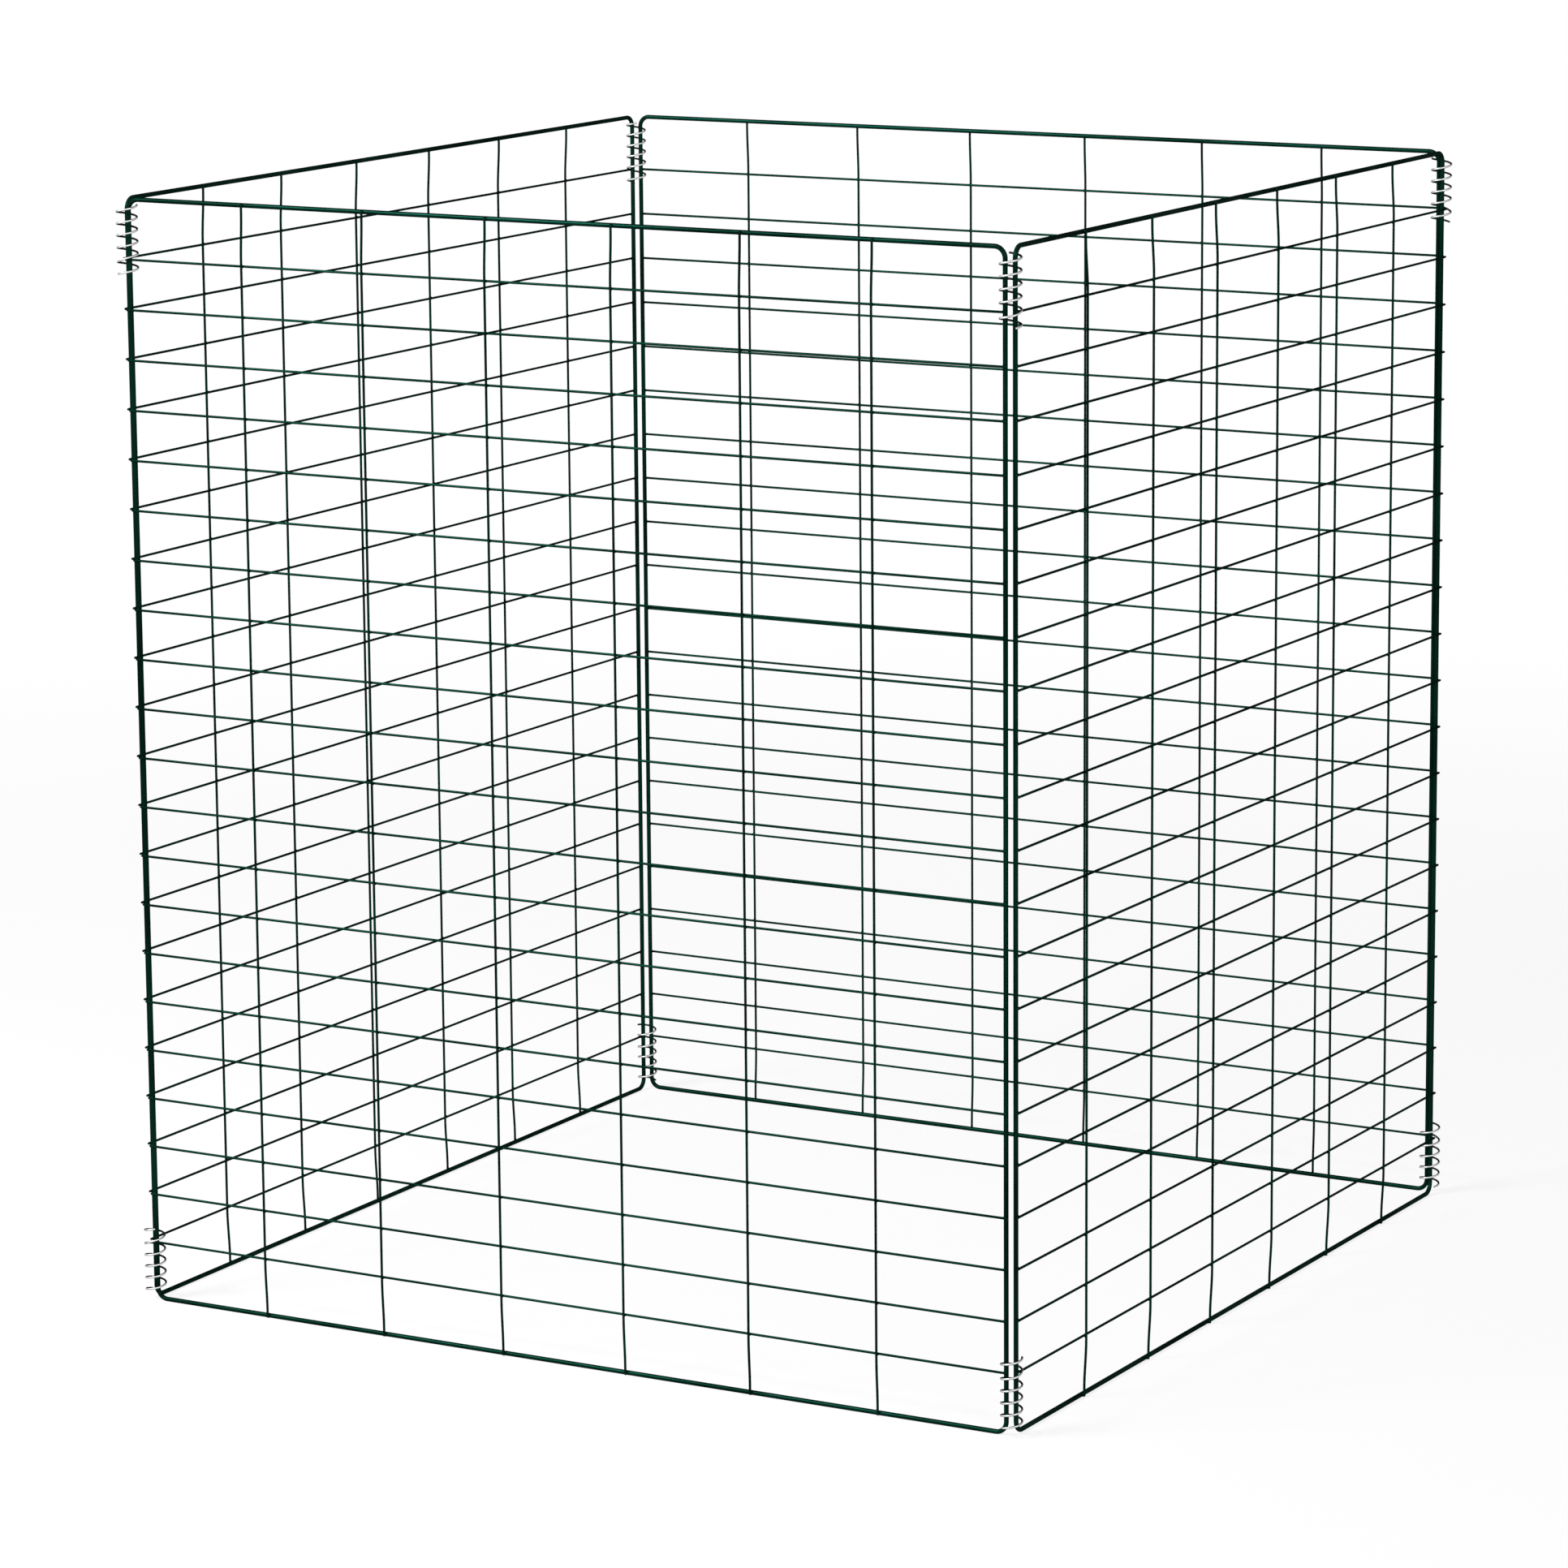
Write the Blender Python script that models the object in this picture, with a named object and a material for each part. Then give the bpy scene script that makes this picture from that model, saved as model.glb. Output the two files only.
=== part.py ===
# Compost bin: four welded wire panels stood in a square and joined by spiral clips.
# Origin on the ground at the middle of the bin, +Z up, front panel towards -Y.
# Lengths are in metres, written here in millimetres times MM.

import math

import bmesh
import bpy
from mathutils import Vector

MM = 0.001

# Bin
BIN_HEIGHT = 914 * MM
HINGE_SPACING = 796 * MM  # between the two hinge axes of one panel
PLANE_OFFSET = 2.1 * MM  # panel plane outside the hinge axes, so that folded panels lie clear
EDGE_OFFSET = 3.4 * MM  # edge wire from the hinge axis, along the panel

# Panel wires
FRAME_WIRE = 3.8 * MM  # heavy wire bent round the panel
MESH_WIRE = 2.0 * MM  # cross wires and uprights
FRAME_BEND = 9 * MM  # centreline radius of the frame's corners
CROSS_WIRES = 21
END_GAP = 48.25 * MM  # from the frame's top or bottom wire to the nearest cross wire
CROSS_OVERHANG = 1.2 * MM  # cut end past the edge wire
UPRIGHTS = 6
SIDE_GAP = 110.6 * MM  # from the frame's edge wire to the nearest upright
WELD_DEPTH = 0.35 * MM  # cross wire pressed into the frame wire
SEAT_GAP = 0.3 * MM  # between pieces that touch

# Ends of an upright: from the outer cross wires they slant in onto the face of the frame wire
BEND_AFTER_CROSS = 3 * MM
BEND_BEFORE_FRAME = 4 * MM
UPRIGHT_END_INSET = 0.5 * MM  # cut end below the outer face of the frame wire

# Spiral clips
CLIP_WIRE = 1.7 * MM
CLIP_PITCH = 9.7 * MM
CLIP_ROOM = 0.7 * MM  # between the coil and the edge wires that it runs round
CLIP_PAST_CROSS = 11.6 * MM  # from the outer cross wire towards the middle of the panel
CLIP_PASS_GAP = 0.4 * MM  # where the coil passes over a cross wire

# Facets
FRAME_SIDES = 8
MESH_SIDES = 6
BEND_STEPS = 4
CLIP_POINTS_PER_TURN = 9

PANELS = ("front", "right", "back", "left")  # each a quarter turn on from the last
CORNERS = ("front_right", "back_right", "back_left", "front_left")

frame_radius = FRAME_WIRE / 2
mesh_radius = MESH_WIRE / 2
axis_reach = HINGE_SPACING / 2
frame_half_width = axis_reach - EDGE_OFFSET
frame_half_height = BIN_HEIGHT / 2 - frame_radius
frame_corner_radius = frame_radius / math.cos(math.pi / FRAME_SIDES)
mesh_corner_radius = mesh_radius / math.cos(math.pi / MESH_SIDES)
clip_corner_radius = CLIP_WIRE / 2 / math.cos(math.pi / MESH_SIDES)
cross_pitch = (BIN_HEIGHT - FRAME_WIRE - 2 * END_GAP) / (CROSS_WIRES - 1)
upright_pitch = 2 * (frame_half_width - SIDE_GAP) / (UPRIGHTS - 1)
cross_offset = frame_radius + mesh_radius - WELD_DEPTH
upright_offset = cross_offset + MESH_WIRE + SEAT_GAP
upright_end_offset = frame_radius + SEAT_GAP + mesh_radius
first_cross_height = frame_radius + END_GAP
last_cross_height = BIN_HEIGHT - first_cross_height

# The coil runs round the two edge wires that it holds, clear of them at its flattest points.
edge_wire_reach = math.hypot(PLANE_OFFSET, EDGE_OFFSET) + frame_corner_radius
clip_flat_radius = edge_wire_reach + CLIP_ROOM + clip_corner_radius
clip_radius = clip_flat_radius / math.cos(math.pi / CLIP_POINTS_PER_TURN)
# It passes the holding panel's outer cross wire at this angle, this far above it.
clip_pass_angle = math.acos((PLANE_OFFSET + cross_offset) / clip_radius)
clip_pass_rise = mesh_corner_radius + CLIP_WIRE / 2 + CLIP_PASS_GAP
clip_spread = max(0, clip_pass_rise - CLIP_PITCH * clip_pass_angle / math.tau)


def clear_scene():
    for item in list(bpy.data.objects):
        bpy.data.objects.remove(item, do_unlink=True)


def make_material(name, colour, roughness, metallic):
    material = bpy.data.materials.new(name)
    material.use_nodes = True
    shader = material.node_tree.nodes["Principled BSDF"]
    shader.inputs["Base Color"].default_value = (*colour, 1)
    shader.inputs["Roughness"].default_value = roughness
    shader.inputs["Metallic"].default_value = metallic
    material.diffuse_color = (*colour, 1)
    return material


def green_coating(node):
    return make_material(node + "_green_coating", (0.002, 0.014, 0.008), 0.35, 0)


def zinc_plating(node):
    return make_material(node + "_zinc_plating", (0.42, 0.43, 0.44), 0.32, 1)


def add_empty(name, location, parent=None):
    empty = bpy.data.objects.new(name, None)
    empty.empty_display_size = 30 * MM
    bpy.context.collection.objects.link(empty)
    if parent:
        empty.parent = parent
        location = location - world_place(parent)
    empty.location = location
    return empty


def world_place(item):
    place = item.location.copy()
    while item.parent:
        item = item.parent
        place += item.location
    return place


def add_piece(name, mesh, hinge, location, turn, material):
    # Each piece keeps its own copy of the mesh, and hangs from the empty on its hinge axis.
    piece = bpy.data.objects.new(name, mesh.copy())
    piece.data.name = name
    bpy.context.collection.objects.link(piece)
    piece.parent = hinge
    piece.location = location - world_place(hinge)
    piece.rotation_euler = (0, 0, turn)
    piece.data.materials.clear()
    piece.data.materials.append(material)
    return piece


def add_wire(bm, points, up, radius, sides, closed=False):
    # A wire along points. Its flats stand off by radius, and one pair of them faces along up.
    rings = []
    count = len(points)
    corner_radius = radius / math.cos(math.pi / sides)
    for index, point in enumerate(points):
        before = points[index - 1] if index or closed else None
        after = points[(index + 1) % count] if index < count - 1 or closed else None
        way_in = (point - before).normalized() if before else (after - point).normalized()
        way_out = (after - point).normalized() if after else way_in
        along = (way_in + way_out).normalized()
        lift = (up - up.dot(along) * along).normalized()
        side = along.cross(lift)
        mitre = 1 / along.dot(way_in)
        ring = []
        for corner in range(sides):
            angle = math.pi / 2 + (corner + 0.5) * math.tau / sides
            across = mitre * math.cos(angle) * side
            ring.append(bm.verts.new(point + corner_radius * (across + math.sin(angle) * lift)))
        rings.append(ring)
    pairs = list(zip(rings, rings[1:]))
    if closed:
        pairs.append((rings[-1], rings[0]))
    for ring, following in pairs:
        for corner in range(sides):
            beside = (corner + 1) % sides
            bm.faces.new((ring[corner], ring[beside], following[beside], following[corner]))
    if not closed:
        bm.faces.new(rings[0][::-1])
        bm.faces.new(rings[-1])


def finish_mesh(bm, name):
    bmesh.ops.recalc_face_normals(bm, faces=bm.faces)
    mesh = bpy.data.meshes.new(name)
    bm.to_mesh(mesh)
    bm.free()
    return mesh


def shade_round(mesh):
    mesh.shade_smooth()
    mesh.set_sharp_from_angle(angle=math.radians(65))


def union_mesh(name, base, tool):
    # One closed body from a mesh and the wires welded to it.
    base_object = bpy.data.objects.new(name, base)
    tool_object = bpy.data.objects.new(name + "_tool", tool)
    for item in (base_object, tool_object):
        bpy.context.collection.objects.link(item)
    weld = base_object.modifiers.new("weld", "BOOLEAN")
    weld.operation = "UNION"
    weld.solver = "EXACT"
    weld.object = tool_object
    graph = bpy.context.evaluated_depsgraph_get()
    mesh = bpy.data.meshes.new_from_object(base_object.evaluated_get(graph), depsgraph=graph)
    bpy.data.objects.remove(base_object)
    bpy.data.objects.remove(tool_object)
    return mesh


def frame_outline():
    # Rectangle with round corners, in the panel's own plane.
    points = []
    reach = frame_half_width - FRAME_BEND
    rise = frame_half_height - FRAME_BEND
    for quarter, (side, level) in enumerate(((1, 1), (-1, 1), (-1, -1), (1, -1))):
        centre = Vector((side * reach, 0, BIN_HEIGHT / 2 + level * rise))
        for step in range(BEND_STEPS + 1):
            angle = (quarter + step / BEND_STEPS) * math.pi / 2
            points.append(centre + FRAME_BEND * Vector((math.cos(angle), 0, math.sin(angle))))
    return points


def panel_frame_mesh():
    # The frame wire with the cross wires welded on its outer face.
    outward = Vector((0, -1, 0))
    bm = bmesh.new()
    add_wire(bm, frame_outline(), outward, frame_radius, FRAME_SIDES, closed=True)
    frame = finish_mesh(bm, "frame_wire")
    bm = bmesh.new()
    half_length = frame_half_width + frame_radius + CROSS_OVERHANG
    for row in range(CROSS_WIRES):
        height = first_cross_height + row * cross_pitch
        ends = [Vector((side * half_length, -cross_offset, height)) for side in (-1, 1)]
        add_wire(bm, ends, outward, mesh_radius, MESH_SIDES)
    mesh = union_mesh("panel_frame", frame, finish_mesh(bm, "cross_wires"))
    shade_round(mesh)
    return mesh


def upright_mesh():
    # Straight outside the cross wires, both ends bent in to lie on the outer face of the frame wire.
    half_length = BIN_HEIGHT / 2 - UPRIGHT_END_INSET
    bend_end = frame_half_height - BEND_BEFORE_FRAME
    bend_start = last_cross_height - BIN_HEIGHT / 2 + BEND_AFTER_CROSS
    stations = (
        (half_length, upright_end_offset),
        (bend_end, upright_end_offset),
        (bend_start, upright_offset),
    )
    middle = BIN_HEIGHT / 2
    upper = [Vector((0, -offset, middle + rise)) for rise, offset in stations]
    lower = [Vector((0, -offset, middle - rise)) for rise, offset in reversed(stations)]
    bm = bmesh.new()
    add_wire(bm, upper + lower, Vector((0, -1, 0)), mesh_radius, MESH_SIDES)
    mesh = finish_mesh(bm, "upright")
    shade_round(mesh)
    return mesh


def clip_rise(angle):
    # Height of the coil above the cross wires that it passes at angle 0.
    share = max(-1, min(1, angle / clip_pass_angle))
    return CLIP_PITCH * angle / math.tau + clip_spread * math.sin(share * math.pi / 2)


def clip_corner_keep():
    # How far from the frame's top wire the coil stops, to clear the bend in the frame wire.
    clearance = frame_corner_radius + clip_corner_radius + SEAT_GAP
    along_panel = math.sqrt(clip_flat_radius ** 2 - PLANE_OFFSET ** 2) - EDGE_OFFSET
    room = FRAME_BEND - clearance
    inside = FRAME_BEND - along_panel
    keep = FRAME_BEND - math.sqrt(max(0, room ** 2 - inside ** 2))
    return max(keep, clearance)


def clip_turn(length):
    # The angle that the coil turns in a length on one side of the cross wires.
    return (length - clip_spread) / CLIP_PITCH * math.tau


def clip_points(length_below, length_above):
    # Right-hand coil about the hinge axis. It passes the cross wires' level on the outside.
    start = -clip_turn(length_below)
    whole_turn = clip_turn(length_above) - start
    steps = math.ceil(whole_turn / math.tau * CLIP_POINTS_PER_TURN)
    points = []
    for step in range(steps + 1):
        angle = start + whole_turn * step / steps
        around = clip_radius * Vector((math.cos(angle), math.sin(angle), 0))
        points.append(around + Vector((0, 0, clip_rise(angle))))
    return points


def least_self_gap(points, wire):
    # Smallest clear distance between stretches of the coil at least half a turn apart.
    fine = [start.lerp(end, part / 4) for start, end in zip(points, points[1:]) for part in range(4)]
    apart = CLIP_POINTS_PER_TURN * 2
    least = min(
        (point - other).length
        for index, point in enumerate(fine)
        for other in fine[index + apart:]
    )
    return least - wire


def clip_mesh(name, length_below, length_above):
    points = clip_points(length_below, length_above)
    gap = least_self_gap(points, CLIP_WIRE)
    print(f"{name}: least gap to itself {gap / MM:.2f} mm")
    bm = bmesh.new()
    add_wire(bm, points, Vector((0, 0, 1)), CLIP_WIRE / 2, MESH_SIDES)
    mesh = finish_mesh(bm, name)
    shade_round(mesh)
    return mesh


def turned(vector, angle):
    return Vector((
        vector.x * math.cos(angle) - vector.y * math.sin(angle),
        vector.x * math.sin(angle) + vector.y * math.cos(angle),
        vector.z,
    ))


def add_hinges():
    # The back panel stands still. The left and right panels swing on it, the front on the left.
    places = {name: turned(Vector((axis_reach, -axis_reach, 0)), index * math.pi / 2)
              for index, name in enumerate(CORNERS)}
    base = add_empty("back_base", Vector((0, 0, 0)))
    left = add_empty("left_hinge", places["back_left"], base)
    front = add_empty("front_hinge", places["front_left"], left)
    right = add_empty("right_hinge", places["back_right"], base)
    return {"back": base, "left": left, "front": front, "right": right}, places


def add_panel(name, turn, hinge, frame, upright):
    place = turned(Vector((0, -(axis_reach + PLANE_OFFSET), 0)), turn)
    node = name + "_frame"
    add_piece(node, frame, hinge, place, turn, green_coating(node))
    for column in range(UPRIGHTS):
        along = (column - (UPRIGHTS - 1) / 2) * upright_pitch
        node = f"{name}_upright_{column + 1}"
        spot = place + turned(Vector((along, 0, 0)), turn)
        add_piece(node, upright, hinge, spot, turn, green_coating(node))


def add_clips(corner, turn, hinge, place, top_clip, bottom_clip):
    for level, height, mesh in (
        ("top", last_cross_height, top_clip),
        ("bottom", first_cross_height, bottom_clip),
    ):
        node = f"{corner}_{level}_clip"
        spot = place + Vector((0, 0, height))
        add_piece(node, mesh, hinge, spot, turn, zinc_plating(node))


def build():
    clear_scene()
    hinges, corner_places = add_hinges()
    frame = panel_frame_mesh()
    upright = upright_mesh()
    to_corner = END_GAP - clip_corner_keep()
    top_clip = clip_mesh("top_clip", CLIP_PAST_CROSS, to_corner)
    bottom_clip = clip_mesh("bottom_clip", to_corner, CLIP_PAST_CROSS)
    for index, (panel, corner) in enumerate(zip(PANELS, CORNERS)):
        turn = index * math.pi / 2
        add_panel(panel, turn, hinges[panel], frame, upright)
        # The clip holds the next panel round, and swings with it.
        holder = PANELS[(index + 1) % len(PANELS)]
        add_clips(corner, turn, hinges[holder], corner_places[corner], top_clip, bottom_clip)


build()
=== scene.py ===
import math

import bpy
from mathutils import Matrix, Vector


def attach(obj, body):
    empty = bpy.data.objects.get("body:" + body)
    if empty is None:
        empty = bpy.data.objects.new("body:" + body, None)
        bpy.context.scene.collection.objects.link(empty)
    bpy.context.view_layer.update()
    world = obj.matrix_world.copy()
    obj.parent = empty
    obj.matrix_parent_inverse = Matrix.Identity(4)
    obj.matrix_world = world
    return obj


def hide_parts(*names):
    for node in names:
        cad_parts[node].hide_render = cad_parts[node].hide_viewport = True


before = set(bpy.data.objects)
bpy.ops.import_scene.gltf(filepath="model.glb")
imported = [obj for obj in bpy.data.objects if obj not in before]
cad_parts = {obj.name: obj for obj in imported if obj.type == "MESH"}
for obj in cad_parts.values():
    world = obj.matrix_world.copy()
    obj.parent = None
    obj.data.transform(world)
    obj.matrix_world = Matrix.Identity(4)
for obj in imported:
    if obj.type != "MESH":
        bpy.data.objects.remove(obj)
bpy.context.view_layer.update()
mm = 0.001
print("bin: frame loaded,", len(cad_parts), "nodes")


# What the whole bin shares. Lengths are in metres, and the front panel lies towards -Y.
binPlan = {
    "height": 914 * mm,
    "hingeReach": 398 * mm,     # middle of the bin to a hinge axis, both ways
    "planeOffset": 2.1 * mm,    # panel plane outside the hinge axes
    "edgeOffset": 3.4 * mm,     # edge wire to the hinge axis, along the panel
    "endGap": 48.25 * mm,       # frame's outer face less its radius, to the first cross wire
}
frameWire = {
    "radius": 1.9 * mm,
    "bend": 9 * mm,             # centreline radius of the corners
    "bendSteps": 14,
    "ringSpacing": 16 * mm,     # along the straight runs
    "sides": 18,
    "rub": 0.55,                # wear left by the clips on the edge wires
    "rubPast": 14 * mm,         # how far it goes past the first cross wire
    "rubFade": 10 * mm,
}
crossWires = {
    "count": 21,
    "radius": 1.0 * mm,
    "overhang": 1.2 * mm,       # cut end past the edge wire
    "pressedIn": 0.35 * mm,     # into the frame wire, by the weld
    "sides": 12,
    "dome": 0.75,               # depth of the coated cut end, in radii
    "ringSpacing": 36 * mm,
    "tipWear": 0.8,
}
uprights = {
    "count": 6,
    "sideGap": 110.6 * mm,      # edge wire to the nearest upright
    "radius": 1.0 * mm,
    "pressedIn": 0.2 * mm,      # into the cross wires and the frame wire
    "endInset": 0.5 * mm,       # from the frame's outer edge
    "slantFrom": 410 * mm,      # from mid height, where it leaves the last cross wire
    "slantTo": 450.5 * mm,      # and where it lies on the frame wire
    "easeSteps": 10,
    "ringSpacing": 36 * mm,
    "sides": 12,
    "dome": 0.6,
    "tipWear": 0.8,
}
panelNames = ("front", "right", "back", "left")    # each a quarter turn on from the last
cornerNames = ("front_right", "back_right", "back_left", "front_left")

frameHalfWidth = binPlan["hingeReach"] - binPlan["edgeOffset"]
midHeight = binPlan["height"] / 2
frameHalfHeight = midHeight - frameWire["radius"]
firstCross = frameWire["radius"] + binPlan["endGap"]
crossPitch = (binPlan["height"] - 2 * firstCross) / (crossWires["count"] - 1)
crossHeights = [firstCross + row * crossPitch for row in range(crossWires["count"])]
crossOffset = frameWire["radius"] + crossWires["radius"] - crossWires["pressedIn"]
uprightPitch = 2 * (frameHalfWidth - uprights["sideGap"]) / (uprights["count"] - 1)
uprightPlaces = [(column - (uprights["count"] - 1) / 2) * uprightPitch for column in range(uprights["count"])]
uprightOffset = crossOffset + crossWires["radius"] + uprights["radius"] - uprights["pressedIn"]
uprightEndOffset = frameWire["radius"] + uprights["radius"] - uprights["pressedIn"]


class Shell:
    # Points and faces of one piece, with where each point lies on its wire and how worn it is.
    def __init__(self):
        self.points = []
        self.faces = []
        self.runs = []
        self.wear = []

    def addRing(self, centre, across, lift, radius, sides, along, wear):
        for corner in range(sides):
            turn = corner * math.tau / sides
            self.points.append(centre + radius * (math.cos(turn) * across + math.sin(turn) * lift))
            self.runs.append((math.cos(turn), math.sin(turn), along))
            self.wear.append(wear)

    def joinRings(self, first, second, sides):
        for corner in range(sides):
            beside = (corner + 1) % sides
            self.faces.append((first + corner, first + beside, second + beside, second + corner))

    def addTip(self, ring, centre, along, wear, sides, turned):
        tip = len(self.points)
        self.points.append(centre)
        self.runs.append((0, 0, along))
        self.wear.append(wear)
        for corner in range(sides):
            pair = (ring + corner, ring + (corner + 1) % sides)
            self.faces.append((*(pair if turned else pair[::-1]), tip))

    def toMesh(self, name):
        mesh = bpy.data.meshes.new(name)
        mesh.from_pydata(self.points, [], self.faces)
        runs = mesh.attributes.new("wireRun", "FLOAT_VECTOR", "POINT")
        runs.data.foreach_set("vector", [part for run in self.runs for part in run])
        wear = mesh.attributes.new("wear", "FLOAT", "POINT")
        wear.data.foreach_set("value", self.wear)
        mesh.shade_smooth()
        mesh.validate()
        return mesh


widestRing = 2.0    # of the wire's width, at a bend


def addWire(shell, path, lift, radius, sides, closed=False, dome=0.0, domeSteps=4, wearAt=None, tipWear=0.0):
    # A round wire whose centreline is path. An open one ends in domes that reach past the path.
    # At a bend the ring widens, so that the wire keeps its thickness.
    count = len(path)
    along = 0.0
    starts = []
    frames = []
    for index, point in enumerate(path):
        before = path[index - 1] if index or closed else None
        after = path[(index + 1) % count] if index < count - 1 or closed else None
        wayIn = (point - before).normalized() if before else (after - point).normalized()
        wayOut = (after - point).normalized() if after else wayIn
        heading = (wayIn + wayOut).normalized()
        up = (lift - lift.dot(heading) * heading).normalized()
        across = heading.cross(up) / max(1 / widestRing, heading.dot(wayIn))
        along += (point - before).length if index else 0
        frames.append((point, heading, up, across, along))
    if dome:
        point, heading, up, across, along = frames[0]
        for step in range(domeSteps - 1, 0, -1):
            rise = step / domeSteps * math.pi / 2
            starts.append(len(shell.points))
            shell.addRing(point - math.sin(rise) * dome * radius * heading, across, up,
                          math.cos(rise) * radius, sides, along, tipWear)
    for point, heading, up, across, along in frames:
        starts.append(len(shell.points))
        shell.addRing(point, across, up, radius, sides, along, wearAt(point) if wearAt else 0.0)
    if dome:
        for step in range(1, domeSteps):
            rise = step / domeSteps * math.pi / 2
            starts.append(len(shell.points))
            shell.addRing(point + math.sin(rise) * dome * radius * heading, across, up,
                          math.cos(rise) * radius, sides, along, tipWear)
    for first, second in zip(starts, starts[1:]):
        shell.joinRings(first, second, sides)
    if closed:
        shell.joinRings(starts[-1], starts[0], sides)
        return
    firstPoint, firstHeading = frames[0][:2]
    shell.addTip(starts[0], firstPoint - dome * radius * firstHeading, 0, tipWear, sides, False)
    shell.addTip(starts[-1], point + dome * radius * heading, along, tipWear, sides, True)


def spread(start, end, spacing):
    # Points from start up to but not at end, about spacing apart.
    steps = max(1, round((end - start).length / spacing))
    return [start.lerp(end, step / steps) for step in range(steps)]


def easeInOut(share):
    share = max(0.0, min(1.0, share))
    return share * share * (3 - 2 * share)


# Spiral clips: right-handed coils of plated wire round the two edge wires of a corner
spiralClip = {
    "wire": 0.85 * mm,          # radius
    "coil": 8.15 * mm,          # centreline radius
    "pitch": 9.7 * mm,
    "passAngle": math.radians(55.6),    # over this turn it climbs past a cross wire
    "passRise": 0.91 * mm,      # and this much more than the pitch gives
    "shortTurns": -397 / 360,   # ends, counted from the cross wire's level
    "longTurns": 1565 / 360,
    "stepsPerTurn": 40,
    "sides": 14,
    "dome": 0.22,               # depth of the cut end, in radii
    "domeSteps": 3,
    "tipWear": 1.0,
}


def clipPath(firstTurn, lastTurn):
    steps = round((lastTurn - firstTurn) * spiralClip["stepsPerTurn"])
    path = []
    for step in range(steps + 1):
        angle = math.tau * (firstTurn + (lastTurn - firstTurn) * step / steps)
        share = max(-1.0, min(1.0, angle / spiralClip["passAngle"]))
        rise = spiralClip["pitch"] * angle / math.tau + spiralClip["passRise"] * math.sin(share * math.pi / 2)
        path.append(Vector((spiralClip["coil"] * math.cos(angle),
                            spiralClip["coil"] * math.sin(angle), rise)))
    return path


def clipMesh(name, firstTurn, lastTurn):
    shell = Shell()
    addWire(shell, clipPath(firstTurn, lastTurn), Vector((0, 0, 1)), spiralClip["wire"], spiralClip["sides"],
            dome=spiralClip["dome"], domeSteps=spiralClip["domeSteps"], tipWear=spiralClip["tipWear"])
    return shell.toMesh(name)


outward = Vector((0, -1, 0))


def clipRub(point):
    # The clips' turns rub the edge wires near the top and the bottom.
    level = midHeight - abs(point.z - midHeight)
    reach = firstCross + frameWire["rubPast"]
    if abs(point.x) < frameHalfWidth - frameWire["bend"]:
        return 0.0
    return frameWire["rub"] * (1 - easeInOut((level - reach) / frameWire["rubFade"]))


def frameWireMesh():
    shell = Shell()
    reach = frameHalfWidth - frameWire["bend"]
    rise = frameHalfHeight - frameWire["bend"]
    path = []
    for quarter, (side, level) in enumerate(((1, 1), (-1, 1), (-1, -1), (1, -1))):
        centre = Vector((side * reach, 0, midHeight + level * rise))
        bend = []
        for step in range(frameWire["bendSteps"] + 1):
            angle = (quarter + step / frameWire["bendSteps"]) * math.pi / 2
            bend.append(centre + frameWire["bend"] * Vector((math.cos(angle), 0, math.sin(angle))))
        if path:
            path += spread(path.pop(), bend[0], frameWire["ringSpacing"])
        path += bend
    path += spread(path.pop(), path[0], frameWire["ringSpacing"])
    addWire(shell, path, outward, frameWire["radius"], frameWire["sides"], closed=True, wearAt=clipRub)
    return shell.toMesh("frame wire")


def crossWiresMesh():
    shell = Shell()
    dome = crossWires["dome"] * crossWires["radius"]
    halfLength = frameHalfWidth + frameWire["radius"] + crossWires["overhang"] - dome
    for height in crossHeights:
        start = Vector((-halfLength, -crossOffset, height))
        end = Vector((halfLength, -crossOffset, height))
        path = spread(start, end, crossWires["ringSpacing"]) + [end]
        addWire(shell, path, outward, crossWires["radius"], crossWires["sides"],
                dome=crossWires["dome"], tipWear=crossWires["tipWear"])
    return shell.toMesh("cross wires")


def uprightMesh():
    # Straight outside the cross wires. Past the last one it slants in onto the frame wire.
    shell = Shell()
    dome = uprights["dome"] * uprights["radius"]
    stations = [(midHeight - uprights["endInset"] - dome, uprightEndOffset)]
    for step in range(uprights["easeSteps"] + 1):
        share = step / uprights["easeSteps"]
        rise = uprights["slantTo"] + (uprights["slantFrom"] - uprights["slantTo"]) * share
        stations.append((rise, uprightEndOffset + (uprightOffset - uprightEndOffset) * easeInOut(share)))
    upper = [Vector((0, -offset, midHeight + rise)) for rise, offset in stations]
    lower = [Vector((0, -offset, midHeight - rise)) for rise, offset in reversed(stations)]
    path = upper[:-1] + spread(upper[-1], lower[0], uprights["ringSpacing"]) + lower
    addWire(shell, path, outward, uprights["radius"], uprights["sides"],
            dome=uprights["dome"], tipWear=uprights["tipWear"])
    return shell.toMesh("upright")


# Welds: a lens of coating in the corners where two wires cross
welds = {
    "meshReach": 1.55 * mm,     # cross wire on upright
    "frameReach": 1.80 * mm,    # a thin wire on the frame wire
    "thickness": 0.68 * mm,     # half
    "lobes": 0.12,              # further out between the wires than along them
    "corners": 4,               # between the two wires
    "sides": 12,
    "rings": 5,
    "wear": 0.0,
}


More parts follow.
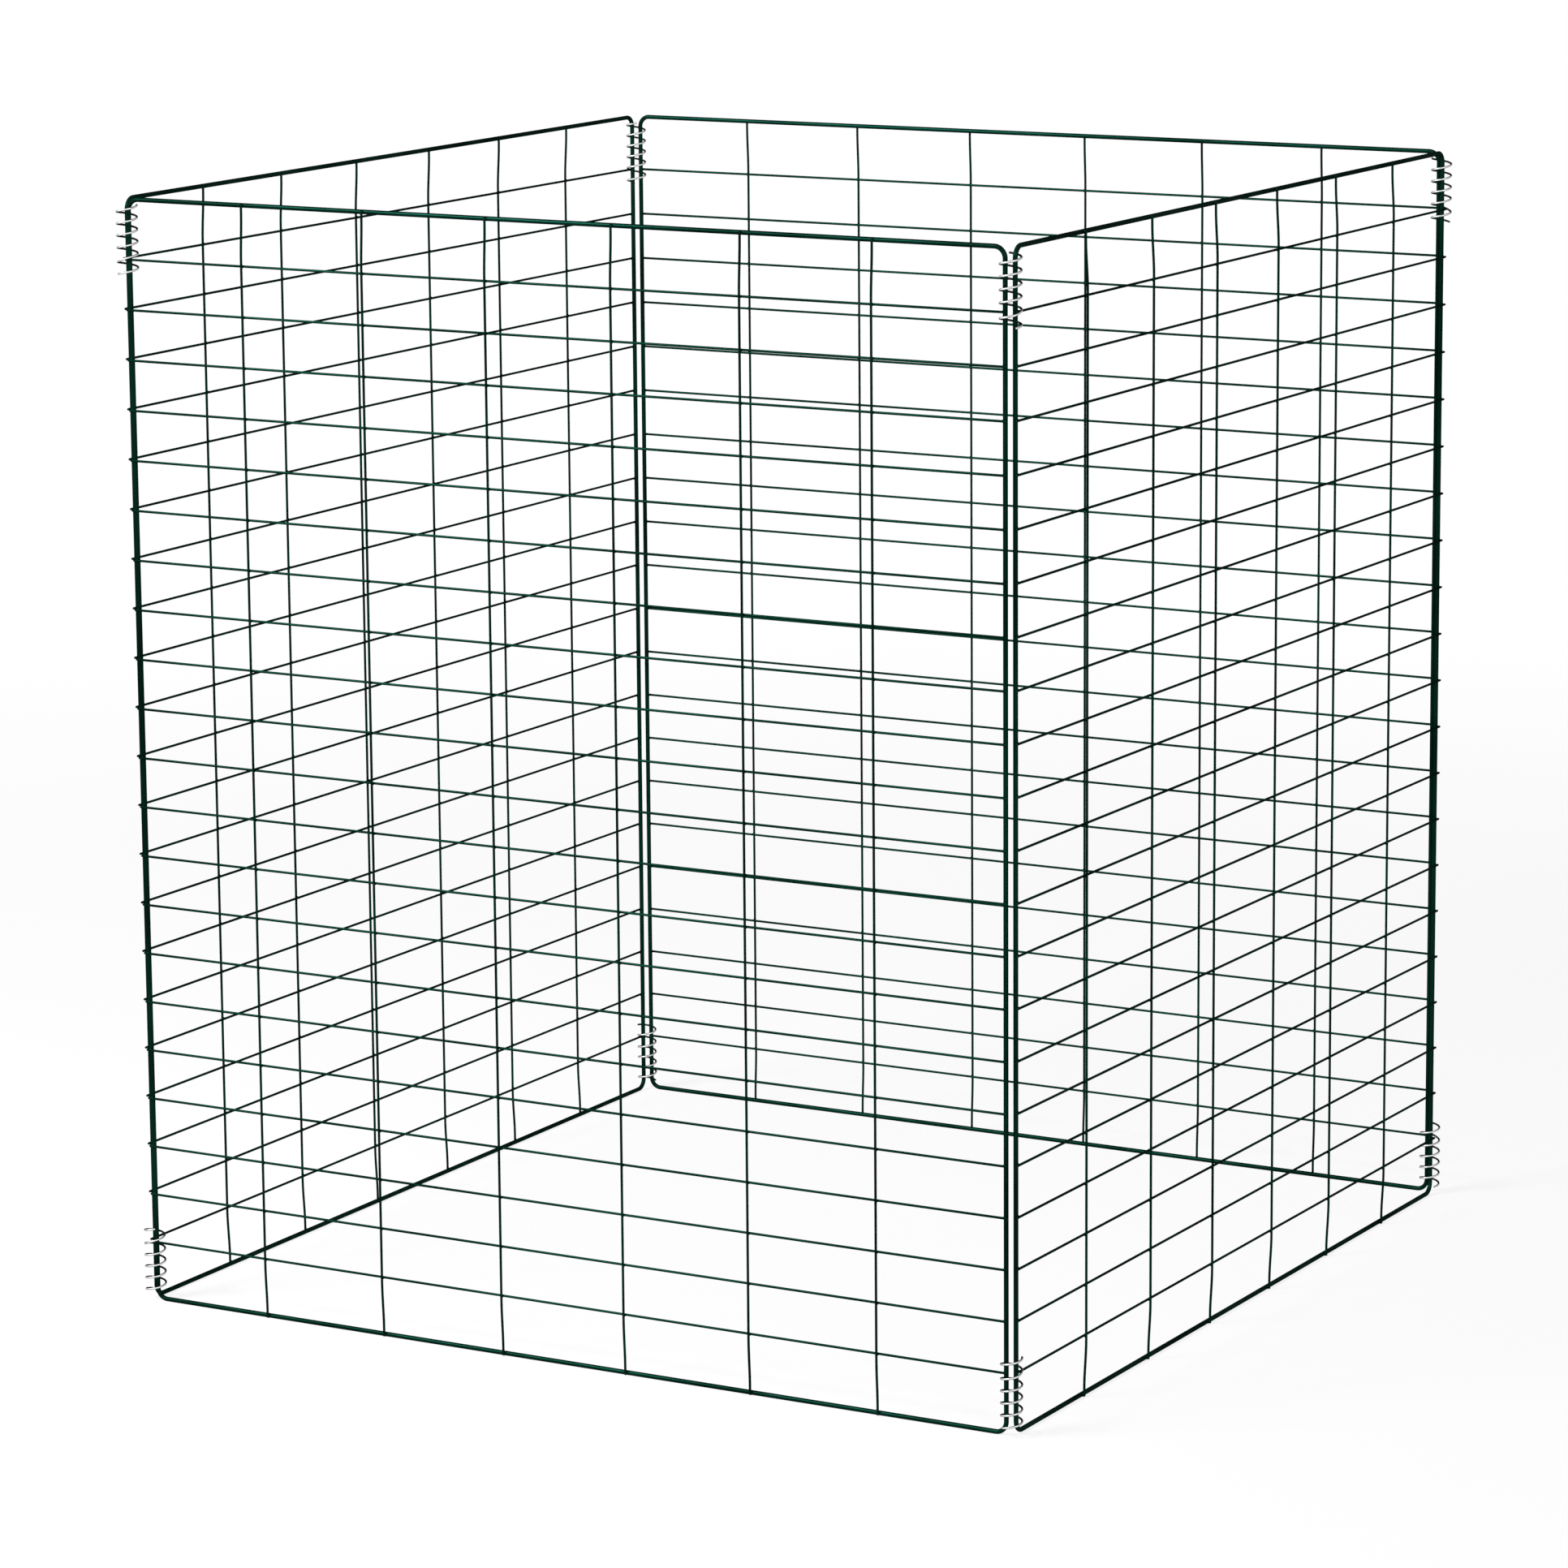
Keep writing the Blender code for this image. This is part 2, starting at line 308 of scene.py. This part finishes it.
def addWeld(shell, centre, reachAcross, reachUp):
    sides = welds["sides"]
    starts = []
    for ring in range(1, welds["rings"]):
        tilt = ring / welds["rings"] * math.pi
        starts.append(len(shell.points))
        for corner in range(sides):
            turn = (corner + 0.5) * math.tau / sides
            lobe = math.sin(tilt) * (1 - welds["lobes"] * math.cos(welds["corners"] * turn))
            shell.points.append(centre + Vector((
                reachAcross * lobe * math.cos(turn),
                -welds["thickness"] * math.cos(tilt),
                reachUp * lobe * math.sin(turn),
            )))
            shell.runs.append((math.cos(turn), math.sin(turn), 0))
            shell.wear.append(welds["wear"])
    for first, second in zip(starts, starts[1:]):
        shell.joinRings(first, second, sides)
    shell.addTip(starts[0], centre + welds["thickness"] * outward, 0, welds["wear"], sides, False)
    shell.addTip(starts[-1], centre - welds["thickness"] * outward, 0, welds["wear"], sides, True)


def weldsMesh():
    shell = Shell()
    crossOnFrame = frameWire["radius"] - crossWires["pressedIn"] / 2
    uprightOnCross = crossOffset + crossWires["radius"] - uprights["pressedIn"] / 2
    uprightOnFrame = frameWire["radius"] - uprights["pressedIn"] / 2
    for height in crossHeights:
        for place in uprightPlaces:
            addWeld(shell, Vector((place, -uprightOnCross, height)), welds["meshReach"], welds["meshReach"])
        for side in (-1, 1):
            addWeld(shell, Vector((side * frameHalfWidth, -crossOnFrame, height)),
                    welds["frameReach"], welds["meshReach"])
    for place in uprightPlaces:
        for level in (-1, 1):
            addWeld(shell, Vector((place, -uprightOnFrame, midHeight + level * frameHalfHeight)),
                    welds["meshReach"], welds["frameReach"])
    return shell.toMesh("welds")


print("bin: wires, welds and clips worked out")


nodeGrid = {"columns": 12, "width": 180, "height": 220}    # where new nodes go in the editor


class Shade:
    # A socket of a node tree. + - and * on it add Math nodes, also with a number on the left.
    def __init__(self, tree, socket=None):
        self.tree = tree
        self.socket = socket

    def node(self, kind, settings=None, inputs=None, output=0):
        made = self.tree.nodes.new(kind)
        row, column = divmod(len(self.tree.nodes), nodeGrid["columns"])
        made.location = (nodeGrid["width"] * column, -nodeGrid["height"] * row)
        for name, setting in (settings or {}).items():
            setattr(made, name, setting)
        for name, given in (inputs or {}).items():
            if isinstance(given, Shade):
                self.tree.links.new(given.socket, made.inputs[name])
            else:
                made.inputs[name].default_value = given
        return Shade(self.tree, made.outputs[output])

    def maths(self, operation, first, second=0.0):
        return self.node("ShaderNodeMath", {"operation": operation}, {0: first, 1: second})

    def __add__(self, other):
        return self.maths("ADD", self, other)

    def __radd__(self, other):
        return self.maths("ADD", other, self)

    def __sub__(self, other):
        return self.maths("SUBTRACT", self, other)

    def __rsub__(self, other):
        return self.maths("SUBTRACT", other, self)

    def __mul__(self, other):
        return self.maths("MULTIPLY", self, other)

    def __rmul__(self, other):
        return self.maths("MULTIPLY", other, self)

    def between(self, low, high):
        # 0 below low and 1 above high, with soft ends
        return self.node("ShaderNodeMapRange", {"interpolation_type": "SMOOTHSTEP"},
                         {"Value": self, "From Min": low, "From Max": high})

    def blend(self, first, second):
        # a colour that goes from first to second with this socket
        asColour = [given if isinstance(given, Shade) else (*given, 1) for given in (first, second)]
        return self.node("ShaderNodeMix", {"data_type": "RGBA"}, {0: self, 6: asColour[0], 7: asColour[1]}, 2)

    def noise(self, where, scale, detail, roughness):
        return self.node("ShaderNodeTexNoise", None,
                         {"Vector": where, "Scale": scale, "Detail": detail, "Roughness": roughness})


def newMaterial(name, viewColour):
    material = bpy.data.materials.new(name)
    material.use_nodes = True
    material.node_tree.nodes.clear()
    material.diffuse_color = (*viewColour, 1)
    return material, Shade(material.node_tree)


def finishMaterial(sheet, surface):
    out = sheet.tree.nodes.new("ShaderNodeOutputMaterial")
    sheet.tree.links.new(surface.socket, out.inputs["Surface"])


# Green coating: glossy dark green over the welded wires
greenCoating = {
    "deep": (0.0003, 0.0025, 0.0015),
    "light": (0.0005, 0.0055, 0.0032),
    "worn": (0.006, 0.028, 0.018),
    "cloud": (9.0, 3.0, 0.5),           # slow change of shade along the wires: scale, detail, roughness
    "cloudRange": (0.3, 0.7),
    "peel": (900.0, 2.0, 0.5),          # orange peel
    "peelDepth": 0.008 * mm,
    "peelStrength": 0.6,
    "scratch": (2600.0, 3.0, 0.7),      # where the coating is worn
    "scratchRange": (0.45, 0.68),
    "scratchHeight": 0.6,
    "roughness": 0.34,
    "roughnessSpread": 0.12,
    "roughnessNoise": (60.0, 3.0, 0.5),
    "wornRoughness": 0.25,
    "tint": (0.08, 1.0, 0.64, 1),       # of the gloss
    "glossShare": 0.082,                # the rest of the coating is matt
    "glossSpread": 0.07,
    "sideFade": 1.0,                    # of the gloss, towards the sides of a wire
    "sideBlend": 0.5,
    "glossIor": 2.3,
    "mattRoughness": 0.7,
}


def makeGreenCoating(name, look):
    material, sheet = newMaterial(name, look["light"])
    where = sheet.node("ShaderNodeTexCoord", None, None, 3)
    cloud = sheet.noise(where, *look["cloud"]).between(*look["cloudRange"])
    peel = sheet.noise(where, *look["peel"])
    scratch = sheet.noise(where, *look["scratch"]).between(*look["scratchRange"])
    wear = sheet.node("ShaderNodeAttribute", {"attribute_name": "wear"}, None, 2)
    worn = wear * scratch
    colour = worn.blend(cloud.blend(look["deep"], look["light"]), look["worn"])
    unevenness = sheet.noise(where, *look["roughnessNoise"]) - 0.5
    gloss = look["roughness"] + look["roughnessSpread"] * unevenness
    bump = sheet.node("ShaderNodeBump", None, {
        "Strength": look["peelStrength"],
        "Distance": look["peelDepth"],
        "Height": peel + look["scratchHeight"] * worn,
    })
    matt = sheet.node("ShaderNodeBsdfPrincipled", None, {
        "Base Color": colour,
        "Roughness": look["mattRoughness"],
        "Specular IOR Level": 0.0,
        "Normal": bump,
    })
    glossy = sheet.node("ShaderNodeBsdfPrincipled", None, {
        "Base Color": colour,
        "Roughness": gloss + look["wornRoughness"] * worn,
        "IOR": look["glossIor"],
        "Specular Tint": look["tint"],
        "Normal": bump,
    })
    side = sheet.node("ShaderNodeLayerWeight", None, {"Blend": look["sideBlend"]}, 1)
    share = (look["glossShare"] + look["glossSpread"] * (cloud - 0.5)) * (1 - look["sideFade"] * side)
    finishMaterial(sheet, sheet.node("ShaderNodeMixShader", None, {0: share, 1: matt, 2: glossy}))
    return material


# Zinc plating: bright drawn spring wire, with painted light on the outer side of each turn and painted shade
# on its inner side
zincPlating = {
    "outside": (0.66, 0.67, 0.68),      # painted highlight on the coil's outer side
    "inside": (0.025, 0.026, 0.028),    # painted shade towards the middle of the coil
    "sideRange": (0.4, 0.95),           # from the painted shade to the painted highlight across the wire, in radii
    "dull": (0.14, 0.145, 0.15),
    "dullShare": 0.35,
    "cut": (0.06, 0.06, 0.065),         # the ends
    "rim": (0.03, 0.03, 0.035, 1),      # seen along the surface
    "spangle": (420.0, 3.0, 0.6),       # scale, detail, roughness
    "spangleRange": (0.35, 0.7),
    "drawn": (5.0, 4.0, 0.7),           # fine lines along the wire
    "lineDepth": 0.012 * mm,
    "lineStrength": 0.5,
    "roughness": 0.40,
    "roughnessSpread": 0.16,
}


def makeZincPlating(name, look):
    material, sheet = newMaterial(name, look["outside"])
    where = sheet.node("ShaderNodeTexCoord", None, None, 3)
    run = sheet.node("ShaderNodeAttribute", {"attribute_name": "wireRun"}, None, 1)
    wear = sheet.node("ShaderNodeAttribute", {"attribute_name": "wear"}, None, 2)
    spangle = sheet.noise(where, *look["spangle"]).between(*look["spangleRange"])
    lines = sheet.noise(run, *look["drawn"])
    # painted light and shade: each turn is bright on its outer side and dark on its inner side, though the
    # plating is even
    paintedLightMask = sheet.node("ShaderNodeSeparateXYZ", None, {"Vector": run}).between(*look["sideRange"])
    plating = paintedLightMask.blend(look["inside"], look["outside"])
    colour = wear.blend((look["dullShare"] * spangle).blend(plating, look["dull"]), look["cut"])
    bump = sheet.node("ShaderNodeBump", None,
                      {"Strength": look["lineStrength"], "Distance": look["lineDepth"], "Height": lines})
    surface = sheet.node("ShaderNodeBsdfPrincipled", None, {
        "Base Color": colour,
        "Metallic": 1.0,
        "Roughness": look["roughness"] + look["roughnessSpread"] * (spangle * lines),
        "Specular Tint": look["rim"],
        "Normal": bump,
    })
    finishMaterial(sheet, surface)
    return material


coatingMaterial = makeGreenCoating("green coating", greenCoating)
weldMaterial = makeGreenCoating("green coating at welds", {
    **greenCoating,
    "deep": (0.0003, 0.0022, 0.0013),
    "light": (0.0004, 0.005, 0.0029),
    "roughness": 0.28,
})
zincMaterial = makeZincPlating("zinc plating", zincPlating)
print("bin: materials made")


def placePiece(name, mesh, place, material, body, slotName, *nodes):
    piece = bpy.data.objects.new(name, mesh.copy())
    piece.data.name = name
    piece.data.transform(place)
    piece.data.materials.append(material)
    bpy.context.scene.collection.objects.link(piece)
    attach(piece, body)
    if nodes:
        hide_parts(*nodes)


def quarterTurn(index, place):
    return Matrix.Rotation(index * math.pi / 2, 4, "Z") @ Matrix.Translation(place)


meshes = {"frame": frameWireMesh(), "cross": crossWiresMesh(), "upright": uprightMesh(), "welds": weldsMesh()}
for index, panel in enumerate(panelNames):
    body = panel + "_panel"
    standing = Vector((0, -(binPlan["hingeReach"] + binPlan["planeOffset"]), 0))
    place = quarterTurn(index, standing)
    placePiece(panel + "_frame_wire", meshes["frame"], place, coatingMaterial, body,
               "green_coating", panel + "_frame")
    placePiece(panel + "_cross_wires", meshes["cross"], place, coatingMaterial, body,
               "green_coating", panel + "_frame")
    placePiece(panel + "_welds", meshes["welds"], place, weldMaterial, body, "green_coating")
    for column, along in enumerate(uprightPlaces):
        place = quarterTurn(index, standing + Vector((along, 0, 0)))
        number = str(column + 1)
        placePiece(panel + "_upright_wire_" + number, meshes["upright"], place, coatingMaterial, body,
                   "green_coating", panel + "_upright_" + number)
print("bin: four panels in place")

clips = {
    "top": (clipMesh("top clip", spiralClip["shortTurns"], spiralClip["longTurns"]), crossHeights[-1]),
    "bottom": (clipMesh("bottom clip", -spiralClip["longTurns"], -spiralClip["shortTurns"]), crossHeights[0]),
}
for index, corner in enumerate(cornerNames):
    # a clip swings with the next panel round
    body = panelNames[(index + 1) % len(panelNames)] + "_panel"
    for level, (mesh, height) in clips.items():
        place = quarterTurn(index, Vector((binPlan["hingeReach"], -binPlan["hingeReach"], height)))
        placePiece(f"{corner}_{level}_spiral", mesh, place, zincMaterial, body,
                   "zinc_plating", f"{corner}_{level}_clip")
print("bin: eight clips in place")


# Studio: pale floor, white surroundings, a soft light from the front left and a weaker one from the right
studio = {
    "floorRadius": 40.0,
    "floorSides": 96,
    "floorDrop": 0.1 * mm,      # below the bin
    "floorColour": (0.97, 0.97, 0.97),
    "shadowShare": 0.16,        # how much of the floor near the bin shows shadows
    "shadowFrom": 1.2,          # metres from the bin's middle, where they start to fade
    "shadowTo": 3.2,
    "surround": 0.22,           # soft light from all round
    "key": (-2.03, -2.81, 2.81),
    "keySize": (1.6, 0.55),
    "keyPower": 215.0,
    "fill": (3.2, -2.6, 2.2),
    "fillSize": (0.9, 0.9),
    "fillPower": 45.0,
}


def seenDirectly(sheet):
    # 1 for what the camera sees, also in a reflection or through glass
    path = sheet.tree.nodes.new("ShaderNodeLightPath")
    seen = [Shade(sheet.tree, path.outputs[name])
            for name in ("Is Camera Ray", "Is Glossy Ray", "Is Transmission Ray")]
    return seen[0] + seen[1] + seen[2]


def makeFloor():
    material, sheet = newMaterial("floor", studio["floorColour"])
    where = sheet.node("ShaderNodeTexCoord", None, None, 3)
    distance = sheet.node("ShaderNodeVectorMath", {"operation": "LENGTH"}, {0: where}, 1)
    near = 1 - distance.between(studio["shadowFrom"], studio["shadowTo"])
    diffuse = sheet.node("ShaderNodeBsdfDiffuse", None, {"Color": (*studio["floorColour"], 1)})
    white = sheet.node("ShaderNodeEmission", None, {"Color": (1, 1, 1, 1), "Strength": 1.0})
    share = seenDirectly(sheet).between(0, 1) * (1 - studio["shadowShare"] * near)
    finishMaterial(sheet, sheet.node("ShaderNodeMixShader", None, {0: share, 1: diffuse, 2: white}))
    mesh = bpy.data.meshes.new("floor")
    sides = studio["floorSides"]
    rim = []
    for step in range(sides):
        turn = step * math.tau / sides
        rim.append((studio["floorRadius"] * math.cos(turn), studio["floorRadius"] * math.sin(turn), 0))
    mesh.from_pydata(rim, [], [tuple(range(sides))])
    mesh.materials.append(material)
    floor = bpy.data.objects.new("floor", mesh)
    floor.location.z = -studio["floorDrop"]
    bpy.context.scene.collection.objects.link(floor)


def makeSurroundings():
    world = bpy.data.worlds.new("studio")
    world.use_nodes = True
    world.node_tree.nodes.clear()
    sheet = Shade(world.node_tree)
    soft = sheet.node("ShaderNodeBackground", None, {"Color": (1, 1, 1, 1), "Strength": studio["surround"]})
    white = sheet.node("ShaderNodeBackground", None, {"Color": (1, 1, 1, 1), "Strength": 1.0})
    mixed = sheet.node("ShaderNodeMixShader", None, {0: seenDirectly(sheet).between(0, 1), 1: soft, 2: white})
    out = world.node_tree.nodes.new("ShaderNodeOutputWorld")
    world.node_tree.links.new(mixed.socket, out.inputs["Surface"])
    bpy.context.scene.world = world


def addSoftLight(name, place, size, power):
    light = bpy.data.lights.new(name, "AREA")
    light.shape = "RECTANGLE"
    light.size, light.size_y = size
    light.energy = power
    lamp = bpy.data.objects.new(name, light)
    lamp.location = place
    aim = Vector((0, 0, midHeight)) - lamp.location
    lamp.rotation_mode = "QUATERNION"
    lamp.rotation_quaternion = aim.to_track_quat("-Z", "Y")
    bpy.context.scene.collection.objects.link(lamp)


makeFloor()
makeSurroundings()
addSoftLight("key", studio["key"], studio["keySize"], studio["keyPower"])
addSoftLight("fill", studio["fill"], studio["fillSize"], studio["fillPower"])

# Camera, to the right of the front panel and a little above the bin
viewpoint = {
    "place": (2.461, -4.386, 1.415),
    "forward": (-0.4842, 0.8552, -0.1848),
    "right": (0.8709, 0.4914, -0.0077),
    "lens": 140.26,
    "sensor": 36.0,
    "frameDown": 100 / 1932,    # the frame lies this far below the line of sight
    "farthest": 200.0,          # past the floor's far edge
}
camera = bpy.data.cameras.new("camera")
camera.sensor_width = viewpoint["sensor"]
camera.lens = viewpoint["lens"]
camera.shift_y = -viewpoint["frameDown"]
camera.clip_end = viewpoint["farthest"]
cameraObject = bpy.data.objects.new("camera", camera)
forward = Vector(viewpoint["forward"]).normalized()
right = Vector(viewpoint["right"])
right = (right - right.dot(forward) * forward).normalized()
up = right.cross(forward)
turn = Matrix((right, up, -forward)).transposed().to_4x4()
cameraObject.matrix_world = Matrix.Translation(viewpoint["place"]) @ turn
bpy.context.scene.collection.objects.link(cameraObject)
bpy.context.scene.camera = cameraObject
bpy.context.scene.view_settings.view_transform = "Standard"
print("bin: studio and camera set")

bpy.context.view_layer.update()
